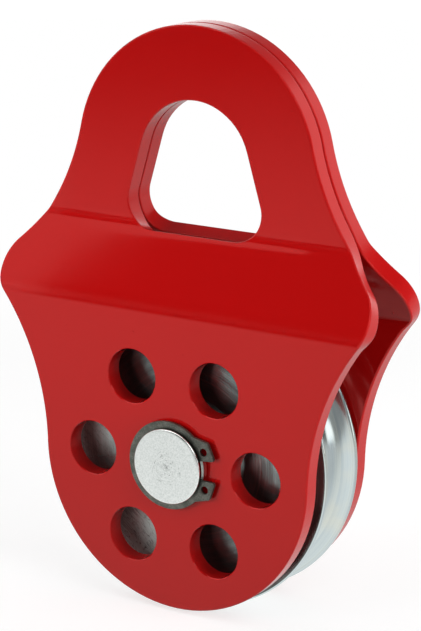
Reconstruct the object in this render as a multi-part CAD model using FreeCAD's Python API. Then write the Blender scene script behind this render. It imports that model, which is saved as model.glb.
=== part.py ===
# Swing-side snatch block. Two equal cheek plates, each jogged by two bends so that their eyes lie
# face to face at the top while their round lobes stand apart below, hang a grooved sheave between
# them on one plain axle pin. A retaining ring outside each plate holds the pin.
#
# Frame, in millimetres: the origin is on the pin's axis, on the middle plane between the plates.
# +Y runs along the pin to the rear, +Z up to the eye, +X to the right as seen from the front.
import FreeCAD, Part

import math
import os

from FreeCAD import Vector

# Axle pin, a plain shaft with a standard external ring at each end
axle_diameter = 25.0
axle_stand_out = 3.9          # pin's end beyond the plate's outer face
axle_end_chamfer = 0.45
running_clearance = 0.06      # radial, between the pin and what turns on it
face_clearance = 0.05         # between flat faces that turn on each other

# Retaining rings
ring_thickness = 1.2
ring_end_play = 0.9           # between the ring and the plate beside it
ring_groove_depth = 0.55
ring_groove_slack = 0.1       # groove's width beyond the ring's thickness
ring_seat_clearance = 0.02    # radial, between the ring and the groove's floor
ring_beam_back = 3.3          # beam's radial width opposite the opening
ring_beam_front = 2.2         # the same at the opening
ring_lug_reach = 5.75         # lug's tip beyond the groove's floor
ring_lug_near_angle = 14.6    # degrees from the middle of the opening
ring_lug_tip_angle = 11.6
ring_lug_far_angle = 32.5
ring_lug_foot_angle = 50.0
ring_lug_corner = 0.8
ring_eye_diameter = 2.6
ring_eye_angle = 25.3
ring_eye_reach = 2.75         # eye's centre beyond the groove's floor
ring_turn = 2.0               # degrees that a ring has crept round its groove

# Sheave and its bush
sheave_radius = 51.0
sheave_width = 20.8
sheave_rim_flat = 1.6         # flat left on the rim beside the groove
sheave_rim_round = 0.7
groove_half_angle = 77.9      # degrees of the groove's arc, from its floor up to each rim
bush_wall = 2.5
bush_end_chamfer = 0.4

# Thrust washers
washer_thickness = 0.8
washer_width = 7.5            # radial

# Side play of the sheave and washers between the plates. The sheave lies against the rear washer.
side_play = 3.4

# Cheek plates, bent from plate and coated
plate_thickness = 6.3
bend_inside_radius = 5.0
eye_seam = 0.4                # gap between the two eyes
lobe_setback = 1.2            # sheave's rim beyond the plates' lobes
bend_rise = 0.2               # lower bend line above the sheave's rim, on the outer face
fold_height = 23.5            # from the lower bend line up to the upper one
wall_lean_run = 12.0          # height over which a cut wall takes on the lean of the fold
edge_round = 0.6              # along the plate's outline

# Cheek plate outline, a chain of arcs that touch each other
ear_reach = 18.2              # ear's tip beyond the sheave's rim
ear_rise = 4.8                # ear's centre above the lower bend line
ear_radius = 12.8
waist_radius = 84.0           # hollow between lobe and ear
flare_radius = 82.0           # hollow between ear and eye
eye_rise = 20.9               # eye's centre above the upper bend line
eye_wall = 23.75              # from the window to the top of the eye

# Window of the eye
window_radius = 20.6
window_half_width = 25.0
window_corner_radius = 9.4
window_drop = 1.8             # window's sill below the upper bend line
window_edge_round = 0.4

# Lightening holes
hole_count = 6
hole_diameter = 18.2
hole_edge_chamfer = 0.25

# Below this, two directions or two sizes count as the same
tolerance = 1e-4

# How the cut walls are made: points at this spacing, and this far past the plate's faces
wall_step = 3.0
wall_overrun = 1.5

# Worked out from the sizes above
axle_radius = axle_diameter / 2
inner_half = (sheave_width + 2 * washer_thickness + side_play) / 2
outer_half = inner_half + plate_thickness
jog = inner_half - eye_seam / 2
lower_bend = sheave_radius + bend_rise
upper_bend = lower_bend + fold_height
bend_angle = math.atan2(jog, fold_height)
lobe_radius = sheave_radius - lobe_setback
hole_circle_radius = (axle_radius + lobe_radius) / 2
eye_height = upper_bend + eye_rise
eye_radius = window_radius + eye_wall
ear_centre = (sheave_radius + ear_reach - ear_radius, lower_bend + ear_rise)
window_sill = upper_bend - window_drop
ring_seat_radius = axle_radius - ring_groove_depth
bush_radius = axle_radius + running_clearance + bush_wall
groove_half_width = sheave_width / 2 - sheave_rim_flat
groove_radius = groove_half_width / math.sin(math.radians(groove_half_angle))
groove_centre_radius = sheave_radius + groove_radius * math.cos(math.radians(groove_half_angle))
sheave_rear = inner_half - 2 * face_clearance - washer_thickness
sheave_front = sheave_rear - sheave_width

ALONG = Vector(0, 1, 0)
UP = Vector(0, 0, 1)


def at(x, z, y=0.0):
    """Point of a front view: x to the right, z up, y along the pin."""
    return Vector(x, y, z)


def polar(radius, degrees):
    """Point of a front view at an angle from +X, round the pin's axis."""
    angle = math.radians(degrees)
    return at(radius * math.cos(angle), radius * math.sin(angle))


def arc_between(centre, radius, start, end, bulge):
    """Arc round a centre from start to end, on the side that the bulge direction points to."""
    middle = (start + end) * 0.5 - at(*centre)
    if middle.Length < tolerance or middle.dot(bulge) < 0:
        middle = bulge
    crown = at(*centre) + Vector(middle).normalize() * radius
    return Part.Arc(start, crown, end).toShape()


def touching_centre(first, first_radius, second, second_radius, radius, side):
    """Centre of a circle that touches two circles from outside, to the given side of their line."""
    dx, dz = second[0] - first[0], second[1] - first[1]
    distance = math.hypot(dx, dz)
    reach_first = first_radius + radius
    reach_second = second_radius + radius
    along = (reach_first ** 2 - reach_second ** 2 + distance ** 2) / (2 * distance)
    across = side * math.sqrt(reach_first ** 2 - along ** 2)
    return (first[0] + (along * dx + across * dz) / distance,
            first[1] + (along * dz - across * dx) / distance)


def between_centres(first, second, distance):
    """Point at a distance from the first centre towards the second."""
    step = at(*second) - at(*first)
    return at(*first) + step.normalize() * distance


def mirrored(point):
    """The same point on the left."""
    return Vector(-point.x, point.y, point.z)


def filled(edges):
    """Face inside a closed chain of edges."""
    return Part.Face(Part.Wire(Part.__sortEdges__(edges)))


def rounded_polygon(points, radii):
    """Closed outline through corner points, each corner rounded by a tangent arc of its radius."""
    edges = []
    ends = []
    for i, (corner, radius) in enumerate(zip(points, radii)):
        back = (points[i - 1] - corner).normalize()
        ahead = (points[(i + 1) % len(points)] - corner).normalize()
        if radius <= 0:
            ends.append((corner, corner))
            continue
        half = back.getAngle(ahead) / 2
        cut = radius / math.tan(half)
        bisector = (back + ahead).normalize()
        crown = corner + bisector * (radius / math.sin(half) - radius)
        start, end = corner + back * cut, corner + ahead * cut
        edges.append(Part.Arc(start, crown, end).toShape())
        ends.append((start, end))
    for i, (start, _) in enumerate(ends):
        edges.append(Part.LineSegment(ends[i - 1][1], start).toShape())
    return filled(edges)


def outer_face(z):
    """Place along the pin of the front plate's outer face at a height."""
    half_turn = math.tan(bend_angle / 2)
    outside_radius = bend_inside_radius + plate_thickness
    lower_start = lower_bend - outside_radius * half_turn
    lower_end = lower_bend + outside_radius * half_turn * math.cos(bend_angle)
    upper_start = upper_bend - bend_inside_radius * half_turn * math.cos(bend_angle)
    upper_end = upper_bend + bend_inside_radius * half_turn
    if z <= lower_start:
        return -outer_half
    if z < lower_end:
        return -outer_half + outside_radius - math.sqrt(outside_radius ** 2 - (z - lower_start) ** 2)
    if z <= upper_start:
        return -outer_half + (z - lower_bend) * math.tan(bend_angle)
    if z < upper_end:
        depth = math.sqrt(bend_inside_radius ** 2 - (z - upper_end) ** 2)
        return -outer_half + jog - bend_inside_radius + depth
    return -outer_half + jog


def wall_lean(z):
    """Angle by which a cut wall leans with the fold, at a height on the plate's outer face."""
    turns = []
    for middle in (lower_bend, upper_bend):
        share = (z - middle) / wall_lean_run + 0.5
        share = min(max(share, 0.0), 1.0)
        turns.append(share * share * (3 - 2 * share))
    return bend_angle * (turns[0] - turns[1])


def wall_points(point):
    """Where a cut wall starts before the outer face and ends behind the inner one, at a point."""
    foot = at(point.x, point.z, outer_face(point.z))
    lean = wall_lean(point.z)
    inwards = Vector(0, math.cos(lean), -math.sin(lean))
    return foot - inwards * wall_overrun, foot + inwards * (plate_thickness + wall_overrun)


def leaning_wall(edge):
    """Wall through the plate along an edge of a front view, leaning with the plate all along."""
    first, last = edge.FirstParameter, edge.LastParameter
    count = math.ceil(edge.Length / wall_step) + 2
    shares = [i / (count - 1) for i in range(count)]
    rails = []
    for side in range(2):
        def rail(share, side=side):
            return wall_points(edge.Curve.value(first + (last - first) * share))[side]
        tangents = [(rail(share + tolerance) - rail(share - tolerance)) * (0.5 / tolerance)
                    for share in (0.0, 1.0)]
        curve = Part.BSplineCurve()
        curve.interpolate(Points=[rail(share) for share in shares], Parameters=shares,
                          InitialTangent=tangents[0], FinalTangent=tangents[1], Scale=False)
        rails.append(curve.toShape())
    return Part.makeRuledSurface(rails[0], rails[1])


def upright_wall(edge):
    """Wall through the plate along an edge of a front view, in the pin's direction."""
    return edge.translated(ALONG * (-outer_half - plate_thickness)).extrude(ALONG * 2 * outer_half)


def walls(edges):
    """Shell of the walls along the closed outline of a front view."""
    faces = []
    for edge in edges:
        heights = [vertex.Point.z for vertex in edge.Vertexes]
        middle = edge.valueAt((edge.FirstParameter + edge.LastParameter) / 2).z
        leans = any(wall_lean(z) > 0 for z in heights + [middle])
        faces.append(leaning_wall(edge) if leans else upright_wall(edge))
    return Part.makeShell(faces)


def piece_at(solid, shell, point, inside):
    """The part of a solid, cut by a shell, that has a point inside it or that hasn't."""
    cut, _ = solid.generalFuse([shell], 1e-5)
    chosen = [part for part in cut.Solids if part.isInside(point, tolerance, True) == inside]
    if len(chosen) != 1:
        raise ValueError(f"{len(cut.Solids)} pieces, {len(chosen)} chosen")
    return chosen[0]


def plate_section():
    """Side view of the front plate, between its two faces, with both bends rounded."""
    bottom = -lobe_radius - plate_thickness
    top = eye_height + eye_radius + plate_thickness
    shift = plate_thickness * math.tan(bend_angle / 2)
    outside_radius = bend_inside_radius + plate_thickness
    corners = [
        (-outer_half, bottom, 0),
        (-outer_half, lower_bend, outside_radius),
        (-outer_half + jog, upper_bend, bend_inside_radius),
        (-outer_half + jog, top, 0),
        (-inner_half + jog, top, 0),
        (-inner_half + jog, upper_bend - shift, outside_radius),
        (-inner_half, lower_bend - shift, bend_inside_radius),
        (-inner_half, bottom, 0),
    ]
    return rounded_polygon([at(0, z, y) for y, z, _ in corners], [radius for _, _, radius in corners])


def plate_outline():
    """Front view of a plate: lobe, waist, ear, flare and eye as touching arcs, the same both sides."""
    pin, eye = (0.0, 0.0), (0.0, eye_height)
    waist_centre = touching_centre(pin, lobe_radius, ear_centre, ear_radius, waist_radius, 1)
    flare_centre = touching_centre(eye, eye_radius, ear_centre, ear_radius, flare_radius, -1)
    lobe_end = between_centres(pin, waist_centre, lobe_radius)
    waist_end = between_centres(ear_centre, waist_centre, ear_radius)
    flare_end = between_centres(ear_centre, flare_centre, ear_radius)
    eye_end = between_centres(eye, flare_centre, eye_radius)
    right, left = at(1, 0), at(-1, 0)
    edges = [
        arc_between(pin, lobe_radius, mirrored(lobe_end), lobe_end, at(0, -1)),
        arc_between(eye, eye_radius, eye_end, mirrored(eye_end), at(0, 1)),
    ]
    for sign, outwards in ((1, right), (-1, left)):
        points = [lobe_end, waist_end, flare_end, eye_end]
        if sign < 0:
            points = [mirrored(point) for point in points]
        waist = (sign * waist_centre[0], waist_centre[1])
        ear = (sign * ear_centre[0], ear_centre[1])
        flare = (sign * flare_centre[0], flare_centre[1])
        edges.append(arc_between(waist, waist_radius, points[0], points[1], -outwards))
        edges.append(arc_between(ear, ear_radius, points[1], points[2], outwards))
        edges.append(arc_between(flare, flare_radius, points[2], points[3], -outwards))
    return edges


def window_outline():
    """Front view of the window: a round top, straight flaring sides, rounded corners and a flat sill."""
    top = (0.0, eye_height)
    corner = (window_half_width - window_corner_radius, window_sill + window_corner_radius)
    dx, dz = corner[0] - top[0], corner[1] - top[1]
    lean = math.atan2(dz, dx) + math.acos((window_radius - window_corner_radius) / math.hypot(dx, dz))
    normal = at(math.cos(lean), math.sin(lean))
    side_top = at(*top) + normal * window_radius
    side_foot = at(*corner) + normal * window_corner_radius
    sill_end = at(corner[0], window_sill)
    left_corner = (-corner[0], corner[1])
    edges = [
        arc_between(top, window_radius, side_top, mirrored(side_top), at(0, 1)),
        Part.LineSegment(side_top, side_foot).toShape(),
        Part.LineSegment(mirrored(side_top), mirrored(side_foot)).toShape(),
        arc_between(corner, window_corner_radius, side_foot, sill_end, at(1, -1)),
        arc_between(left_corner, window_corner_radius, mirrored(side_foot), mirrored(sill_end), at(-1, -1)),
        Part.LineSegment(sill_end, mirrored(sill_end)).toShape(),
    ]
    return edges


def rounded_cut_edges(plate, radius):
    """Plate with the sharp edges of its cut walls rounded, along both faces and round the bends."""
    sharp = []
    for edge in plate.Edges:
        point = edge.valueAt((edge.FirstParameter + edge.LastParameter) / 2)
        sides = plate.ancestorsOfType(edge, Part.Face)
        walls = [face for face in sides if is_cut_wall(face, point)]
        if len(sides) == 2 and len(walls) == 1:
            sharp.append(edge)
    return plate.makeFillet(radius, sharp)


def is_cut_wall(face, point):
    """True where a face runs through the plate, as the cut walls do and its two sides do not."""
    normal = face.normalAt(*face.Surface.parameter(point))
    return abs(normal.y) < math.sin(math.pi / 4)


def drilled(plate):
    """Plate with its axle bore and its ring of lightening holes, whose edges are broken."""
    long_way = 2 * (outer_half + plate_thickness)
    start = at(0, 0, -outer_half - plate_thickness)
    plate = plate.cut(Part.makeCylinder(axle_radius + running_clearance, long_way, start, ALONG))
    for i in range(hole_count):
        centre = polar(hole_circle_radius, i * 360 / hole_count)
        drill = Part.makeCylinder(hole_diameter / 2, long_way, centre + start, ALONG)
        plate = plate.cut(drill)
        for y, depth in ((-outer_half, 1), (-inner_half, -1)):
            mouth = Part.makeCone(hole_diameter / 2 + hole_edge_chamfer, hole_diameter / 2,
                                  hole_edge_chamfer, centre + ALONG * y, ALONG * depth)
            plate = plate.cut(mouth)
    return plate


def front_cheek_plate():
    """The front plate: a bent slab trimmed to the outline, with window, bore and holes."""
    half = sheave_radius + ear_reach + plate_thickness
    slab = plate_section().translated(Vector(-half, 0, 0)).extrude(Vector(2 * half, 0, 0))
    lobe = at(0, 0, -inner_half - plate_thickness / 2)
    blank = piece_at(slab, walls(plate_outline()), lobe, True)
    blank = rounded_cut_edges(blank, edge_round)
    window = at(0, eye_height, -eye_seam / 2 - plate_thickness / 2)
    opened = piece_at(blank, walls(window_outline()), window, False)
    return drilled(rounded_cut_edges(opened, window_edge_round))


def turned_round(shape):
    """The same piece turned half a turn about the vertical, as the rear plate and ring are."""
    return shape.rotated(Vector(0, 0, 0), UP, 180)


def revolved(edges):
    """Solid of revolution about the pin's axis, from the edges of a half section."""
    return filled(edges).revolve(Vector(0, 0, 0), ALONG, 360)


def half_section(corners):
    """Straight edges through (radius, y) corners, closed."""
    points = [at(radius, 0, y) for radius, y in corners]
    return [Part.LineSegment(points[i - 1], point).toShape() for i, point in enumerate(points)]


def axle_pin():
    """Plain pin with chamfered ends and a ring groove near each end."""
    end = outer_half + axle_stand_out
    groove_start = outer_half + ring_end_play
    groove_end = groove_start + ring_thickness + ring_groove_slack
    upper = [
        (axle_radius, groove_start),
        (ring_seat_radius, groove_start),
        (ring_seat_radius, groove_end),
        (axle_radius, groove_end),
        (axle_radius, end - axle_end_chamfer),
        (axle_radius - axle_end_chamfer, end),
        (0, end),
    ]
    lower = [(radius, -y) for radius, y in reversed(upper)]
    return revolved(half_section(upper + lower))


def disc(radius, centre, start, thickness):
    """Flat round solid of a front view, from start towards the rear."""
    return Part.makeCylinder(radius, thickness, centre + ALONG * start, ALONG)


def slice_of(face, start, thickness):
    """A front-view face made a flat solid, from start towards the rear."""
    return face.translated(ALONG * start).extrude(ALONG * thickness)


def ring_lug_face(side):
    """Front view of one ring lug, above (1) or below (-1) the opening."""
    foot = ring_seat_radius + ring_beam_front / 2
    tip = ring_seat_radius + ring_lug_reach
    corners = [
        polar(foot, side * ring_lug_near_angle),
        polar(tip, side * ring_lug_tip_angle),
        polar(tip, side * ring_lug_far_angle),
        polar(foot + ring_beam_front / 2, side * ring_lug_foot_angle),
        polar(foot, side * ring_lug_foot_angle),
    ]
    return rounded_polygon(corners, [0, ring_lug_corner, ring_lug_corner, 0, 0])


def front_retaining_ring():
    """External ring: a beam that thins towards its opening, with two eyed lugs beside it."""
    start = -outer_half - ring_end_play - ring_thickness
    beam_radius = ring_seat_radius + (ring_beam_back + ring_beam_front) / 2
    offset = (ring_beam_back - ring_beam_front) / 2
    far = 2 * beam_radius
    wedge = rounded_polygon(
        [at(0, 0), polar(far, ring_lug_near_angle), polar(far, -ring_lug_near_angle)], [0, 0, 0])
    ring = disc(beam_radius, at(-offset, 0), start, ring_thickness)
    ring = ring.cut(slice_of(wedge, start, ring_thickness))
    for side in (1, -1):
        ring = ring.fuse(slice_of(ring_lug_face(side), start, ring_thickness))
    ring = ring.cut(disc(ring_seat_radius + ring_seat_clearance, at(0, 0), start, ring_thickness))
    for side in (1, -1):
        eye = polar(ring_seat_radius + ring_eye_reach, side * ring_eye_angle)
        ring = ring.cut(disc(ring_eye_diameter / 2, eye, start, ring_thickness))
    return ring.removeSplitter().rotated(Vector(0, 0, 0), ALONG, -ring_turn)


def sheave():
    """Flat-sided sheave with a round rope groove and a bore for its bush."""
    middle = (sheave_front + sheave_rear) / 2
    half = sheave_width / 2
    flank = groove_half_width
    floor = groove_centre_radius - groove_radius
    corners = [
        at(sheave_radius, 0, middle + flank),
        at(sheave_radius, 0, middle + half),
        at(bush_radius, 0, middle + half),
        at(bush_radius, 0, middle - half),
        at(sheave_radius, 0, middle - half),
        at(sheave_radius, 0, middle - flank),
    ]
    edges = [Part.LineSegment(a, b).toShape() for a, b in zip(corners, corners[1:])]
    edges.append(Part.Arc(corners[-1], at(floor, 0, middle), corners[0]).toShape())
    body = revolved(edges)
    rims = [edge for edge in body.Edges if is_rim_edge(edge)]
    return body.makeFillet(sheave_rim_round, rims)


def is_rim_edge(edge):
    """True on the four edges round the sheave's rims."""
    return isinstance(edge.Curve, Part.Circle) and abs(edge.Curve.Radius - sheave_radius) < tolerance


def sheave_bush():
    """Plain bush pressed into the sheave, as wide as the sheave, its bore chamfered at both ends."""
    inner = axle_radius + running_clearance
    return revolved(half_section([
        (inner, sheave_front + bush_end_chamfer),
        (inner + bush_end_chamfer, sheave_front),
        (bush_radius, sheave_front),
        (bush_radius, sheave_rear),
        (inner + bush_end_chamfer, sheave_rear),
        (inner, sheave_rear - bush_end_chamfer),
    ]))


def thrust_washer(y):
    """Flat washer on the pin, from y towards the rear."""
    inner = axle_radius + running_clearance
    corners = [(inner, y), (inner + washer_width, y),
               (inner + washer_width, y + washer_thickness), (inner, y + washer_thickness)]
    return revolved(half_section(corners))


def main():
    """Build every piece and write one STEP file for each."""
    front_plate = front_cheek_plate()
    front_ring = front_retaining_ring()
    pieces = {
        "front_cheek_plate": front_plate,
        "rear_cheek_plate": turned_round(front_plate),
        "sheave": sheave(),
        "sheave_bush": sheave_bush(),
        "axle_pin": axle_pin(),
        "front_retaining_ring": front_ring,
        "rear_retaining_ring": turned_round(front_ring),
        "front_thrust_washer": thrust_washer(sheave_front - face_clearance - washer_thickness),
        "rear_thrust_washer": thrust_washer(sheave_rear + face_clearance),
    }
    os.makedirs("parts", exist_ok=True)
    for name, shape in pieces.items():
        if not shape.isValid() or len(shape.Solids) != 1:
            raise ValueError(f"{name}: {len(shape.Solids)} solids, valid {shape.isValid()}")
        shape.exportStep(f"parts/{name}.step")
        box = shape.optimalBoundingBox()
        print(f"{name}: {shape.Volume:.0f} mm3, x {box.XMin:.2f} {box.XMax:.2f}, "
              f"y {box.YMin:.2f} {box.YMax:.2f}, z {box.ZMin:.2f} {box.ZMax:.2f}")


main()
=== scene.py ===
"""Looks of a swing-side snatch block.

Two red coated cheek plates hang a zinc plated sheave between them on one pin, which two dark retaining
rings hold. The plates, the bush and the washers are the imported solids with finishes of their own. The
sheave and the pin are turned again with tool marks, the rings get the rolled edges of a stamping, and
the coat gets its dust nibs. All of it stands on a pale floor in a soft white studio. Lengths are in
metres, apart from the depths in a finish, which are in millimetres.
"""
import logging
import math
from collections.abc import Iterable, Sequence
from dataclasses import dataclass
from enum import Enum
from typing import Any, Union

import bmesh
import bpy
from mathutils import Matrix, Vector


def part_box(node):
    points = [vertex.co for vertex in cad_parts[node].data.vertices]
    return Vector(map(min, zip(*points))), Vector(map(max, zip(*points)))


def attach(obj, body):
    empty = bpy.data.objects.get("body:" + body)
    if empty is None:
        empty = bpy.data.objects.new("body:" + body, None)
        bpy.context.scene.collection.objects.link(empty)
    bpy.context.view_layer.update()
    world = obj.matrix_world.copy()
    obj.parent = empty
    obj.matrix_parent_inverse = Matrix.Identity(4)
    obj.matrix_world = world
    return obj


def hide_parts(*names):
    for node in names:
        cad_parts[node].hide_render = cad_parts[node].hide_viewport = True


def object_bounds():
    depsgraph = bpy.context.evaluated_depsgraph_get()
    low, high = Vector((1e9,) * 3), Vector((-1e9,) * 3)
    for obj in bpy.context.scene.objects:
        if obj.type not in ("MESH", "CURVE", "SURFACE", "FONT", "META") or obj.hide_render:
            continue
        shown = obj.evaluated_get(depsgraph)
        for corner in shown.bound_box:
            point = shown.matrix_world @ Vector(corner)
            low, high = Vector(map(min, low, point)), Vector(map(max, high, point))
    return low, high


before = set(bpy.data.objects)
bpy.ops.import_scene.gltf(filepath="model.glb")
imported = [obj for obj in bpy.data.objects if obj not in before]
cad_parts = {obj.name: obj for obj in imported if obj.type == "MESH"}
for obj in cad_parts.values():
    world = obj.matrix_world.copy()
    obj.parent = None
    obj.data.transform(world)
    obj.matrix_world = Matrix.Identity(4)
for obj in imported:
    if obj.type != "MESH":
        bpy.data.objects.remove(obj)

CAD_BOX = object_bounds()
MM = 0.001
FULL_TURN = 2 * math.pi
WELD = 1e-6
Colour = tuple[float, float, float]
Point = tuple[float, float, float]
Span = tuple[float, float]
Number = Union["Num", float]
Input = Union["Num", bpy.types.NodeSocket, float, Colour]
WHITE: Colour = (1.0, 1.0, 1.0)
LOG = logging.getLogger("snatch_block")


class Side(Enum):
    """The two sides of the block, with the direction of each along the pin."""

    FRONT = -1
    REAR = 1

    def named(self, kind: str) -> str:
        """Name of the piece or body of a kind on this side."""
        return f"{self.name.lower()}_{kind}"


def add_object(name: str, data: bpy.types.ID) -> bpy.types.Object:
    """Adds an object to the scene.

    Args:
        name: Its name.
        data: Its mesh, lamp or camera.

    Returns:
        The object, at the origin.
    """
    thing = bpy.data.objects.new(name, data)
    bpy.context.scene.collection.objects.link(thing)
    return thing


@dataclass(frozen=True)
class Noise:
    """A soft noise: the size of its patches, how many finer layers lie on them and how strongly."""

    size: float
    layers: float = 2.0
    strength: float = 0.5


class Num:
    """A number that nodes work out. Maths written on it adds the nodes."""

    def __init__(self, net: "Net", socket: bpy.types.NodeSocket) -> None:
        """Wraps an output socket of a net."""
        self.net = net
        self.socket = socket

    def __add__(self, other: Number) -> "Num":
        """Sum."""
        return self.net.math("ADD", self, other)

    __radd__ = __add__

    def __sub__(self, other: Number) -> "Num":
        """Difference."""
        return self.net.math("SUBTRACT", self, other)

    def __rsub__(self, other: Number) -> "Num":
        """Difference from a number."""
        return self.net.math("SUBTRACT", other, self)

    def __mul__(self, other: Number) -> "Num":
        """Product."""
        return self.net.math("MULTIPLY", self, other)

    __rmul__ = __mul__

    def __truediv__(self, other: Number) -> "Num":
        """Quotient."""
        return self.net.math("DIVIDE", self, other)

    def __rtruediv__(self, other: Number) -> "Num":
        """A number divided by this one."""
        return self.net.math("DIVIDE", other, self)

    def __neg__(self) -> "Num":
        """The same with the other sign."""
        return self * -1

    def __abs__(self) -> "Num":
        """Size without the sign."""
        return self.net.math("ABSOLUTE", self)

    def at_least(self, other: Number) -> "Num":
        """The larger of two numbers."""
        return self.net.math("MAXIMUM", self, other)

    def rise(self, low: float, high: float) -> "Num":
        """Smooth step.

        Args:
            low: Value up to which the result is 0.
            high: Value from which the result is 1.

        Returns:
            A number from 0 to 1.
        """
        values = {"Value": self, "From Min": low, "From Max": high}
        ranged = self.net.node("ShaderNodeMapRange", {"interpolation_type": "SMOOTHSTEP"}, values)
        return Num(self.net, ranged.outputs["Result"])

    def bell(self, centre: float, width: float) -> "Num":
        """Bell curve.

        Args:
            centre: Value at which the result is 1.
            width: Distance at which the result has dropped to about a third.

        Returns:
            A number from 0 to 1.
        """
        away = (self - centre) / width
        return self.net.math("EXPONENT", -(away * away))


class Net:
    """A node tree and the short ways to add nodes to it."""

    def __init__(self, tree: bpy.types.NodeTree) -> None:
        """Starts with an empty tree."""
        self.tree = tree
        tree.nodes.clear()

    def node(self, kind: str, settings: dict[str, Any] | None = None,
             values: dict[str | int, Any] | None = None) -> bpy.types.Node:
        """Adds a node.

        Args:
            kind: Type name of the node.
            settings: Its own settings, such as its operation, which are set first.
            values: What goes into its sockets: a number, a colour, a socket or a Num.

        Returns:
            The node.
        """
        made = self.tree.nodes.new(kind)
        for name, setting in (settings or {}).items():
            setattr(made, name, setting)
        for key, value in (values or {}).items():
            self._feed(made.inputs[key], value)
        return made

    def math(self, operation: str, *values: Number) -> Num:
        """Adds a Math node with the given operation and returns its result."""
        made = self.node("ShaderNodeMath", {"operation": operation}, dict(enumerate(values)))
        return Num(self, made.outputs[0])

    def split(self, vector: bpy.types.NodeSocket) -> tuple[Num, Num, Num]:
        """Takes a vector apart.

        Args:
            vector: The vector.

        Returns:
            Its x, y and z.
        """
        made = self.node("ShaderNodeSeparateXYZ", None, {0: vector})
        x, y, z = (Num(self, socket) for socket in made.outputs)
        return x, y, z

    def join(self, x: Number, y: Number, z: Number) -> bpy.types.NodeSocket:
        """A vector of three numbers."""
        return self.node("ShaderNodeCombineXYZ", None, {0: x, 1: y, 2: z}).outputs[0]

    def noise(self, place: bpy.types.NodeSocket, kind: Noise) -> Num:
        """Reads a soft noise.

        Args:
            place: Vector at which it is read.
            kind: Which noise.

        Returns:
            A number round 0.5.
        """
        values = {"Vector": place, "Scale": 1 / kind.size, "Detail": kind.layers,
                  "Roughness": kind.strength}
        made = self.node("ShaderNodeTexNoise", {"noise_dimensions": "3D"}, values)
        return Num(self, made.outputs[0])

    def mix(self, factor: Number, first: Input, second: Input) -> bpy.types.NodeSocket:
        """A colour between two colours."""
        values = {0: factor, 6: first, 7: second}
        return self.node("ShaderNodeMix", {"data_type": "RGBA"}, values).outputs[2]

    def ray(self, kind: str) -> Num:
        """1 for rays of a kind, such as Camera or Glossy, and 0 for the others."""
        return Num(self, self.node("ShaderNodeLightPath").outputs[f"Is {kind} Ray"])

    def _feed(self, socket: bpy.types.NodeSocket, value: Input) -> None:
        """Gives an input its value.

        Args:
            socket: The input.
            value: A number or a colour, which is set there, or a socket or a Num, which is linked.
        """
        if isinstance(value, Num):
            value = value.socket
        if isinstance(value, bpy.types.NodeSocket):
            self.tree.links.new(value, socket)
        elif socket.type == "RGBA" and len(value) == 3:
            socket.default_value = (*value, 1.0)
        else:
            socket.default_value = value


class Paint(Net):
    """The nodes of one material, with the places on the piece that its patterns read."""

    def __init__(self, name: str) -> None:
        """Makes the material.

        Args:
            name: Its name.
        """
        self.material = bpy.data.materials.new(name)
        self.material.use_nodes = True
        super().__init__(self.material.node_tree)
        source = self.node("ShaderNodeTexCoord")
        self.place = source.outputs["Object"]
        self.x, self.y, self.z = self.split(self.place)
        self.normal = self.split(source.outputs["Normal"])
        self.radius = self.math("SQRT", self.x * self.x + self.z * self.z)
        self.angle = self.math("ARCTAN2", self.z, self.x)

    def shader(self, kind: str, **values: Input) -> bpy.types.NodeSocket:
        """Adds a shader of a kind, such as Emission, and returns its result."""
        return self.node(f"ShaderNode{kind}", None, values).outputs[0]

    def blend(self, factor: Number, first: bpy.types.NodeSocket,
              second: bpy.types.NodeSocket) -> bpy.types.NodeSocket:
        """A shader between two shaders."""
        return self.node("ShaderNodeMixShader", None, {0: factor, 1: first, 2: second}).outputs[0]

    def surface(self, colour: Input, roughness: Number, height: Num, metallic: Number = 0.0,
                ior: float = 1.5, gloss_tint: Colour = WHITE) -> bpy.types.Material:
        """Ends the material in one surface shader.

        Args:
            colour: Colour, or the socket that gives it.
            roughness: Roughness, or the number that gives it.
            height: Height of the surface in millimetres.
            metallic: 0 for a coat, 1 for bare metal.
            ior: Refraction of a coat, which sets how much it mirrors.
            gloss_tint: Colour of what it mirrors when seen straight on.

        Returns:
            The material.
        """
        bump = self.node("ShaderNodeBump", None, {"Height": height, "Distance": MM, "Strength": 1.0})
        values = {"Base Color": colour, "Roughness": roughness, "Metallic": metallic, "IOR": ior,
                  "Specular Tint": gloss_tint, "Normal": bump.outputs["Normal"]}
        shader = self.node("ShaderNodeBsdfPrincipled", None, values)
        self.node("ShaderNodeOutputMaterial", None, {"Surface": shader.outputs[0]})
        return self.material


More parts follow.
